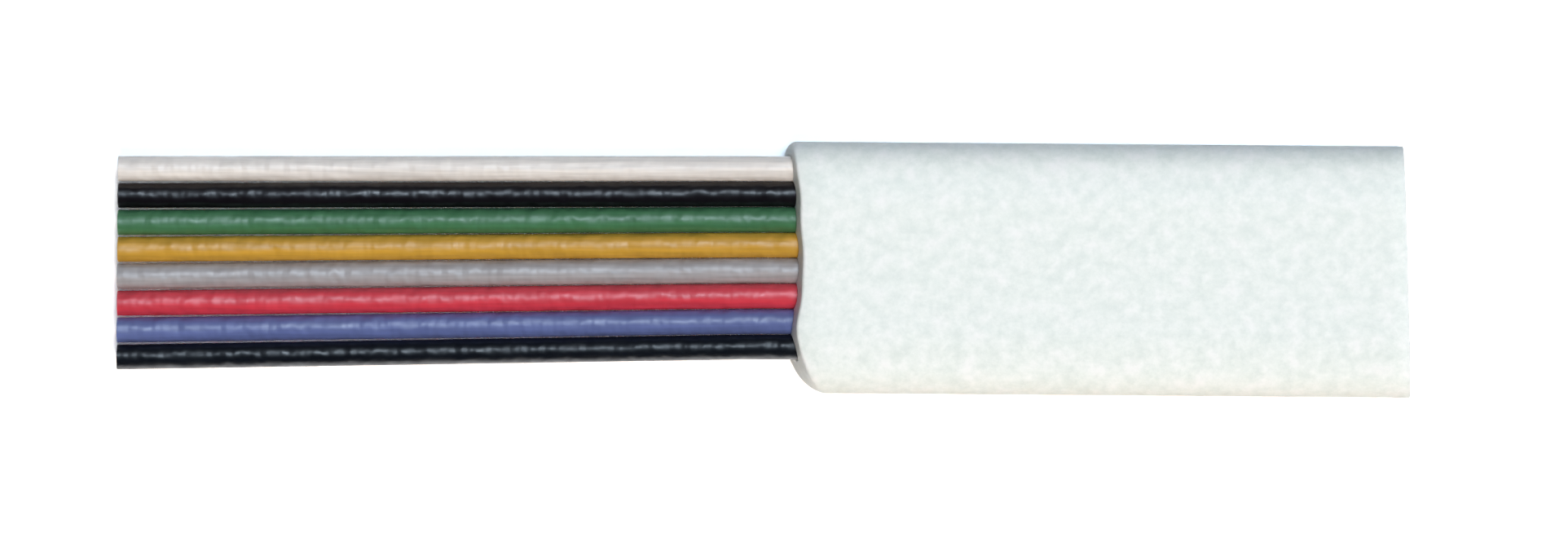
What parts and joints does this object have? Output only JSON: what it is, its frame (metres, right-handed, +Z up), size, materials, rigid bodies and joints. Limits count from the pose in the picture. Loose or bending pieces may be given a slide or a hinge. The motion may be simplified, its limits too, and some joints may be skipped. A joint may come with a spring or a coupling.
{
  "type": "flat telephone cable",
  "caption": "Short straight piece of flat telephone cable: a pale oval jacket with a row of coloured stranded wires bared at one end.",
  "frame": {"origin": "middle of the jacket's flat underside", "axes": "+X along the cable from the bared wires to the far end of the jacket, +Y across the row towards the white wire, +Z up"},
  "size_m": [0.0421, 0.0082, 0.0025],
  "materials": {
    "jacket": "satin",
    "insulation_white": "gloss",
    "insulation_black": "gloss",
    "insulation_green": "gloss",
    "insulation_yellow": "gloss",
    "insulation_grey": "gloss",
    "insulation_red": "gloss",
    "insulation_blue": "gloss",
    "insulation_black_2": "gloss",
    "copper": "satin"
  },
  "bodies": {
    "root": {"jacket": "jacket", "insulation_white": "insulation_white", "insulation_black": "insulation_black", "insulation_green": "insulation_green", "insulation_yellow": "insulation_yellow", "insulation_grey": "insulation_grey", "insulation_red": "insulation_red", "insulation_blue": "insulation_blue", "insulation_black_2": "insulation_black_2", "core_strand_white": "copper", "core_strand_black": "copper", "core_strand_green": "copper", "core_strand_yellow": "copper", "core_strand_grey": "copper", "core_strand_red": "copper", "core_strand_blue": "copper", "core_strand_black_2": "copper", "laid_strands_white": "copper", "laid_strands_black": "copper", "laid_strands_green": "copper", "laid_strands_yellow": "copper", "laid_strands_grey": "copper", "laid_strands_red": "copper", "laid_strands_blue": "copper", "laid_strands_black_2": "copper"}
  },
  "joints": []
}
